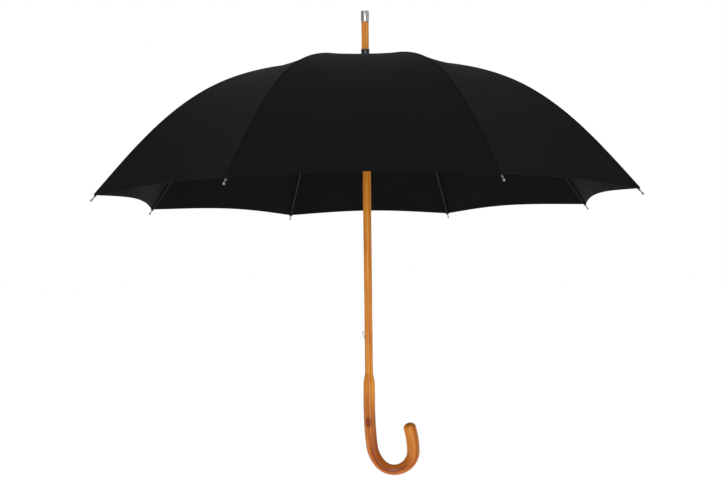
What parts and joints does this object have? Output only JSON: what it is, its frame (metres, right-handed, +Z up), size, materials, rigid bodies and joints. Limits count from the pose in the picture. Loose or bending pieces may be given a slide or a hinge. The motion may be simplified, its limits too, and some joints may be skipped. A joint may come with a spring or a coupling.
{
  "type": "stick umbrella",
  "caption": "Open stick umbrella: a curved wooden crook handle and shaft, a sliding runner with stretchers and ribs, and a domed black fabric canopy with a scalloped hem.",
  "frame": {"origin": "on the stick's axis at the middle of the grip", "axes": "+Z up along the stick to the ferrule cap, +X the way the crook opens, +Y to the back of the umbrella"},
  "size_m": [0.9602, 0.9602, 0.9087],
  "materials": {
    "wood": "varnished, honey to chestnut, fine long grain",
    "bright_metal": "bright nickel plate",
    "hub_metal": "black enamelled steel, gloss",
    "collar": "black gloss",
    "black_steel": "black enamelled spring steel, satin",
    "canopy_fabric": "matt black pongee, plain weave"
  },
  "bodies": {
    "stick": {"stick": "wood", "ferrule_cap": "bright_metal", "crown_collar": "collar", "crown_rosette": "canopy_fabric", "top_notch": "hub_metal", "notch_pin": "bright_metal", "notch_wire": "bright_metal"},
    "runner": {"runner": "hub_metal"},
    "hand_spring": {"hand_spring": "bright_metal"},
    "top_spring": {"top_spring": "bright_metal"},
    "rib_1": {"rib_1_inner": "black_steel", "canopy_1_inner": "canopy_fabric"},
    "rib_1_end": {"rib_1_outer": "black_steel", "rib_tip_1": "bright_metal", "canopy_1_outer": "canopy_fabric"},
    "stretcher_1": {"stretcher_1": "black_steel"},
    "rib_2": {"rib_2_inner": "black_steel", "canopy_2_inner": "canopy_fabric"},
    "rib_2_end": {"rib_2_outer": "black_steel", "rib_tip_2": "bright_metal", "canopy_2_outer": "canopy_fabric"},
    "stretcher_2": {"stretcher_2": "black_steel"},
    "rib_3": {"rib_3_inner": "black_steel", "canopy_3_inner": "canopy_fabric"},
    "rib_3_end": {"rib_3_outer": "black_steel", "rib_tip_3": "bright_metal", "canopy_3_outer": "canopy_fabric", "tie_band": "canopy_fabric", "tie_band_stud": "bright_metal"},
    "stretcher_3": {"stretcher_3": "black_steel"},
    "rib_4": {"rib_4_inner": "black_steel", "canopy_4_inner": "canopy_fabric"},
    "rib_4_end": {"rib_4_outer": "black_steel", "rib_tip_4": "bright_metal", "canopy_4_outer": "canopy_fabric"},
    "stretcher_4": {"stretcher_4": "black_steel"},
    "rib_5": {"rib_5_inner": "black_steel", "canopy_5_inner": "canopy_fabric"},
    "rib_5_end": {"rib_5_outer": "black_steel", "rib_tip_5": "bright_metal", "canopy_5_outer": "canopy_fabric"},
    "stretcher_5": {"stretcher_5": "black_steel"},
    "rib_6": {"rib_6_inner": "black_steel", "canopy_6_inner": "canopy_fabric"},
    "rib_6_end": {"rib_6_outer": "black_steel", "rib_tip_6": "bright_metal", "canopy_6_outer": "canopy_fabric"},
    "stretcher_6": {"stretcher_6": "black_steel"},
    "rib_7": {"rib_7_inner": "black_steel", "canopy_7_inner": "canopy_fabric"},
    "rib_7_end": {"rib_7_outer": "black_steel", "rib_tip_7": "bright_metal", "canopy_7_outer": "canopy_fabric"},
    "stretcher_7": {"stretcher_7": "black_steel"},
    "rib_8": {"rib_8_inner": "black_steel", "canopy_8_inner": "canopy_fabric"},
    "rib_8_end": {"rib_8_outer": "black_steel", "rib_tip_8": "bright_metal", "canopy_8_outer": "canopy_fabric"},
    "stretcher_8": {"stretcher_8": "black_steel"}
  },
  "joints": [
    {"name": "runner_slide", "type": "slide", "parent": "stick", "child": "runner", "axis": [0, 0, -1], "range_m": [0, 0.4152], "deforming": ["hand_spring", "top_spring"]},
    {"name": "hand_spring_press", "type": "hinge", "parent": "stick", "child": "hand_spring", "pos_m": [-0.0034, 0, 0.1205], "axis": [0, 1, 0], "range_deg": [0, 9], "stiffness_Nm_per_rad": 0.8},
    {"name": "top_spring_press", "type": "hinge", "parent": "stick", "child": "top_spring", "pos_m": [-0.0034, 0, 0.49379], "axis": [0, 1, 0], "range_deg": [0, 9], "stiffness_Nm_per_rad": 0.8},
    {"name": "rib_1_hinge", "type": "hinge", "parent": "stick", "child": "rib_1", "pos_m": [0.01109, 0.00459, 0.674], "axis": [-0.3827, 0.9239, 0], "range_deg": [0, 73], "deforming": ["canopy_1_inner"]},
    {"name": "rib_1_flex", "type": "hinge", "parent": "rib_1", "child": "rib_1_end", "pos_m": [0.24573, 0.10178, 0.62415], "axis": [-0.3827, 0.9239, 0], "range_deg": [-25.94, 0], "deforming": ["canopy_1_outer"]},
    {"name": "stretcher_1_hinge", "type": "hinge", "parent": "rib_1", "child": "stretcher_1", "pos_m": [0.24573, 0.10178, 0.62415], "axis": [-0.3827, 0.9239, 0], "range_deg": [-146, 0]},
    {"name": "rib_2_hinge", "type": "hinge", "parent": "stick", "child": "rib_2", "pos_m": [0.00459, 0.01109, 0.674], "axis": [-0.9239, 0.3827, 0], "range_deg": [0, 73], "deforming": ["canopy_2_inner"]},
    {"name": "rib_2_flex", "type": "hinge", "parent": "rib_2", "child": "rib_2_end", "pos_m": [0.10178, 0.24573, 0.62415], "axis": [-0.9239, 0.3827, 0], "range_deg": [-25.94, 0], "deforming": ["canopy_2_outer"]},
    {"name": "stretcher_2_hinge", "type": "hinge", "parent": "rib_2", "child": "stretcher_2", "pos_m": [0.10178, 0.24573, 0.62415], "axis": [-0.9239, 0.3827, 0], "range_deg": [-146, 0]},
    {"name": "rib_3_hinge", "type": "hinge", "parent": "stick", "child": "rib_3", "pos_m": [-0.00459, 0.01109, 0.674], "axis": [-0.9239, -0.3827, 0], "range_deg": [0, 73], "deforming": ["canopy_3_inner"]},
    {"name": "rib_3_flex", "type": "hinge", "parent": "rib_3", "child": "rib_3_end", "pos_m": [-0.10178, 0.24573, 0.62415], "axis": [-0.9239, -0.3827, 0], "range_deg": [-25.94, 0], "deforming": ["canopy_3_outer", "tie_band"]},
    {"name": "stretcher_3_hinge", "type": "hinge", "parent": "rib_3", "child": "stretcher_3", "pos_m": [-0.10178, 0.24573, 0.62415], "axis": [-0.9239, -0.3827, 0], "range_deg": [-146, 0]},
    {"name": "rib_4_hinge", "type": "hinge", "parent": "stick", "child": "rib_4", "pos_m": [-0.01109, 0.00459, 0.674], "axis": [-0.3827, -0.9239, 0], "range_deg": [0, 73], "deforming": ["canopy_4_inner"]},
    {"name": "rib_4_flex", "type": "hinge", "parent": "rib_4", "child": "rib_4_end", "pos_m": [-0.24573, 0.10178, 0.62415], "axis": [-0.3827, -0.9239, 0], "range_deg": [-25.94, 0], "deforming": ["canopy_4_outer"]},
    {"name": "stretcher_4_hinge", "type": "hinge", "parent": "rib_4", "child": "stretcher_4", "pos_m": [-0.24573, 0.10178, 0.62415], "axis": [-0.3827, -0.9239, 0], "range_deg": [-146, 0]},
    {"name": "rib_5_hinge", "type": "hinge", "parent": "stick", "child": "rib_5", "pos_m": [-0.01109, -0.00459, 0.674], "axis": [0.3827, -0.9239, 0], "range_deg": [0, 73], "deforming": ["canopy_5_inner"]},
    {"name": "rib_5_flex", "type": "hinge", "parent": "rib_5", "child": "rib_5_end", "pos_m": [-0.24573, -0.10178, 0.62415], "axis": [0.3827, -0.9239, 0], "range_deg": [-25.94, 0], "deforming": ["canopy_5_outer"]},
    {"name": "stretcher_5_hinge", "type": "hinge", "parent": "rib_5", "child": "stretcher_5", "pos_m": [-0.24573, -0.10178, 0.62415], "axis": [0.3827, -0.9239, 0], "range_deg": [-146, 0]},
    {"name": "rib_6_hinge", "type": "hinge", "parent": "stick", "child": "rib_6", "pos_m": [-0.00459, -0.01109, 0.674], "axis": [0.9239, -0.3827, 0], "range_deg": [0, 73], "deforming": ["canopy_6_inner"]},
    {"name": "rib_6_flex", "type": "hinge", "parent": "rib_6", "child": "rib_6_end", "pos_m": [-0.10178, -0.24573, 0.62415], "axis": [0.9239, -0.3827, 0], "range_deg": [-25.94, 0], "deforming": ["canopy_6_outer"]},
    {"name": "stretcher_6_hinge", "type": "hinge", "parent": "rib_6", "child": "stretcher_6", "pos_m": [-0.10178, -0.24573, 0.62415], "axis": [0.9239, -0.3827, 0], "range_deg": [-146, 0]},
    {"name": "rib_7_hinge", "type": "hinge", "parent": "stick", "child": "rib_7", "pos_m": [0.00459, -0.01109, 0.674], "axis": [0.9239, 0.3827, 0], "range_deg": [0, 73], "deforming": ["canopy_7_inner"]},
    {"name": "rib_7_flex", "type": "hinge", "parent": "rib_7", "child": "rib_7_end", "pos_m": [0.10178, -0.24573, 0.62415], "axis": [0.9239, 0.3827, 0], "range_deg": [-25.94, 0], "deforming": ["canopy_7_outer"]},
    {"name": "stretcher_7_hinge", "type": "hinge", "parent": "rib_7", "child": "stretcher_7", "pos_m": [0.10178, -0.24573, 0.62415], "axis": [0.9239, 0.3827, 0], "range_deg": [-146, 0]},
    {"name": "rib_8_hinge", "type": "hinge", "parent": "stick", "child": "rib_8", "pos_m": [0.01109, -0.00459, 0.674], "axis": [0.3827, 0.9239, 0], "range_deg": [0, 73], "deforming": ["canopy_8_inner"]},
    {"name": "rib_8_flex", "type": "hinge", "parent": "rib_8", "child": "rib_8_end", "pos_m": [0.24573, -0.10178, 0.62415], "axis": [0.3827, 0.9239, 0], "range_deg": [-25.94, 0], "deforming": ["canopy_8_outer"]},
    {"name": "stretcher_8_hinge", "type": "hinge", "parent": "rib_8", "child": "stretcher_8", "pos_m": [0.24573, -0.10178, 0.62415], "axis": [0.3827, 0.9239, 0], "range_deg": [-146, 0]}
  ],
  "couplings": [
    {"joint": "rib_1_hinge", "follows": "runner_slide", "rad_per_m": 3.0686},
    {"joint": "rib_1_flex", "follows": "runner_slide", "rad_per_m": -1.0904},
    {"joint": "stretcher_1_hinge", "follows": "runner_slide", "rad_per_m": -6.1372},
    {"joint": "rib_2_hinge", "follows": "runner_slide", "rad_per_m": 3.0686},
    {"joint": "rib_2_flex", "follows": "runner_slide", "rad_per_m": -1.0904},
    {"joint": "stretcher_2_hinge", "follows": "runner_slide", "rad_per_m": -6.1372},
    {"joint": "rib_3_hinge", "follows": "runner_slide", "rad_per_m": 3.0686},
    {"joint": "rib_3_flex", "follows": "runner_slide", "rad_per_m": -1.0904},
    {"joint": "stretcher_3_hinge", "follows": "runner_slide", "rad_per_m": -6.1372},
    {"joint": "rib_4_hinge", "follows": "runner_slide", "rad_per_m": 3.0686},
    {"joint": "rib_4_flex", "follows": "runner_slide", "rad_per_m": -1.0904},
    {"joint": "stretcher_4_hinge", "follows": "runner_slide", "rad_per_m": -6.1372},
    {"joint": "rib_5_hinge", "follows": "runner_slide", "rad_per_m": 3.0686},
    {"joint": "rib_5_flex", "follows": "runner_slide", "rad_per_m": -1.0904},
    {"joint": "stretcher_5_hinge", "follows": "runner_slide", "rad_per_m": -6.1372},
    {"joint": "rib_6_hinge", "follows": "runner_slide", "rad_per_m": 3.0686},
    {"joint": "rib_6_flex", "follows": "runner_slide", "rad_per_m": -1.0904},
    {"joint": "stretcher_6_hinge", "follows": "runner_slide", "rad_per_m": -6.1372},
    {"joint": "rib_7_hinge", "follows": "runner_slide", "rad_per_m": 3.0686},
    {"joint": "rib_7_flex", "follows": "runner_slide", "rad_per_m": -1.0904},
    {"joint": "stretcher_7_hinge", "follows": "runner_slide", "rad_per_m": -6.1372},
    {"joint": "rib_8_hinge", "follows": "runner_slide", "rad_per_m": 3.0686},
    {"joint": "rib_8_flex", "follows": "runner_slide", "rad_per_m": -1.0904},
    {"joint": "stretcher_8_hinge", "follows": "runner_slide", "rad_per_m": -6.1372}
  ]
}
